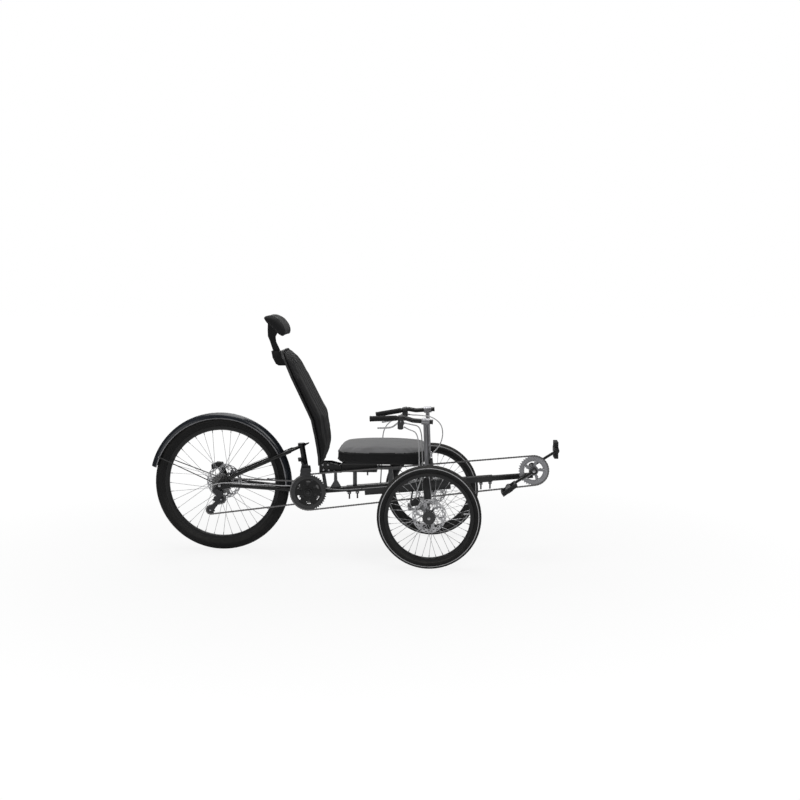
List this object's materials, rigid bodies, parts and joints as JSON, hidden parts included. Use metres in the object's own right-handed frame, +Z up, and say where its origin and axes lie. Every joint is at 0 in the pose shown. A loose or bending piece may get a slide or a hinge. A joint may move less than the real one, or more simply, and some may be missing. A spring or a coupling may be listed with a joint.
{
  "type": "recumbent trike",
  "caption": "Recumbent pedal trike with two steered front wheels, a larger driven rear wheel, a padded seat with backrest and headrest, and under-seat linked side handlebars.",
  "frame": {"origin": "on the floor, midway along the overall length, on the plane of symmetry", "axes": "+X to the front (pedals), +Y to the rider's left, +Z up"},
  "size_m": [2.0368, 0.832, 1.173],
  "materials": {
    "frame_black": "satin",
    "support_grey": "satin",
    "seat_cover": "matte",
    "shell_black": "matte",
    "mudguard_blue_black": "gloss",
    "stay_black": "satin",
    "dark_alloy": "satin",
    "brake_black": "satin",
    "chain_steel": "satin",
    "silver_alloy": "satin",
    "crank_black": "satin",
    "pedal_black": "matte",
    "sprocket_steel": "satin",
    "tyre_rubber": "matte",
    "rim_black": "satin",
    "spoke_steel": "bright",
    "hub_black": "satin",
    "knuckle_grey": "satin",
    "bar_black": "satin",
    "grip_rubber": "matte",
    "cable_housing": "satin"
  },
  "bodies": {
    "frame": {"main_beam": "frame_black", "rear_tube": "frame_black", "front_boom": "frame_black", "cross_beam": "frame_black", "chainstays": "frame_black", "seat_stays": "frame_black", "seat_tube": "frame_black", "seat_supports": "support_grey", "seat_base": "frame_black", "seat_cushion": "seat_cover", "recline_bracket": "frame_black", "backrest_shell": "shell_black", "backrest_pad": "seat_cover", "headrest_arm": "shell_black", "headrest_pad": "seat_cover", "rear_mudguard": "mudguard_blue_black", "mudguard_stays": "stay_black", "rear_derailleur": "dark_alloy", "front_derailleur": "dark_alloy", "rear_calliper": "brake_black", "front_chain": "chain_steel", "rear_chain": "chain_steel", "shift_cable_right": "cable_housing", "shift_cable_left": "cable_housing"},
    "crank_set": {"front_chainring": "silver_alloy", "cranks": "crank_black"},
    "right_pedal": {"pedal_right": "pedal_black"},
    "left_pedal": {"pedal_left": "pedal_black"},
    "jackshaft": {"middle_rings": "crank_black"},
    "sprockets": {"cassette": "sprocket_steel"},
    "rear_wheel": {"rear_tyre": "tyre_rubber", "rear_rim": "rim_black", "rear_spokes": "spoke_steel", "rear_hub": "hub_black"},
    "right_steering": {"knuckle_right": "knuckle_grey", "post_right": "silver_alloy", "handlebar_right": "bar_black", "grip_right": "grip_rubber", "lever_right": "brake_black", "calliper_right": "brake_black", "brake_cable_right": "cable_housing"},
    "right_wheel": {"tyre_right": "tyre_rubber", "rim_right": "rim_black", "spokes_right": "spoke_steel", "hub_right": "hub_black"},
    "left_steering": {"knuckle_left": "knuckle_grey", "post_left": "silver_alloy", "handlebar_left": "bar_black", "grip_left": "grip_rubber", "lever_left": "brake_black", "calliper_left": "brake_black", "brake_cable_left": "cable_housing"},
    "left_wheel": {"tyre_left": "tyre_rubber", "rim_left": "rim_black", "spokes_left": "spoke_steel", "hub_left": "hub_black"},
    "track_rod": {"tie_rod": "knuckle_grey"}
  },
  "joints": [
    {"name": "steer_left", "type": "hinge", "parent": "frame", "child": "left_steering", "pos_m": [0.36758, 0.31263, 0.36], "axis": [-0.0343, -0.1838, 0.9824], "range_deg": [-30, 30], "deforming": ["shift_cable_left"]},
    {"name": "steer_right", "type": "hinge", "parent": "frame", "child": "right_steering", "pos_m": [0.36758, -0.31263, 0.36], "axis": [-0.0343, 0.1838, 0.9824], "range_deg": [-30, 30], "deforming": ["shift_cable_right"]},
    {"name": "track_rod_ball", "type": "hinge", "parent": "left_steering", "child": "track_rod", "pos_m": [0.28658, 0.32872, 0.29], "axis": [0.0127, -0.184, 0.9828], "range_deg": [-30, 30]},
    {"name": "left_wheel_spin", "type": "hinge", "parent": "left_steering", "child": "left_wheel", "pos_m": [0.37715, 0.38, 0.245], "axis": [0, 1, 0], "continuous": true},
    {"name": "right_wheel_spin", "type": "hinge", "parent": "right_steering", "child": "right_wheel", "pos_m": [0.37715, -0.38, 0.245], "axis": [0, 1, 0], "continuous": true},
    {"name": "rear_wheel_spin", "type": "hinge", "parent": "frame", "child": "rear_wheel", "pos_m": [-0.66285, 0, 0.336], "axis": [0, 1, 0], "continuous": true},
    {"name": "crank_spin", "type": "hinge", "parent": "frame", "child": "crank_set", "pos_m": [0.88315, 0, 0.417], "axis": [0, 1, 0], "continuous": true},
    {"name": "jackshaft_spin", "type": "hinge", "parent": "frame", "child": "jackshaft", "pos_m": [-0.22585, 0, 0.301], "axis": [0, 1, 0], "continuous": true},
    {"name": "sprocket_spin", "type": "hinge", "parent": "frame", "child": "sprockets", "pos_m": [-0.66285, 0, 0.336], "axis": [0, 1, 0], "continuous": true},
    {"name": "left_pedal_spin", "type": "hinge", "parent": "crank_set", "child": "left_pedal", "pos_m": [1.00544, 0.132, 0.49491], "axis": [0, 1, 0], "continuous": true},
    {"name": "right_pedal_spin", "type": "hinge", "parent": "crank_set", "child": "right_pedal", "pos_m": [0.76086, -0.132, 0.33909], "axis": [0, 1, 0], "continuous": true}
  ],
  "couplings": [
    {"joint": "steer_right", "follows": "steer_left", "ratio": 1},
    {"joint": "track_rod_ball", "follows": "steer_left", "ratio": -0.9906},
    {"joint": "jackshaft_spin", "follows": "crank_spin", "ratio": 0.81818},
    {"joint": "sprocket_spin", "follows": "crank_spin", "ratio": 1.4182}
  ]
}
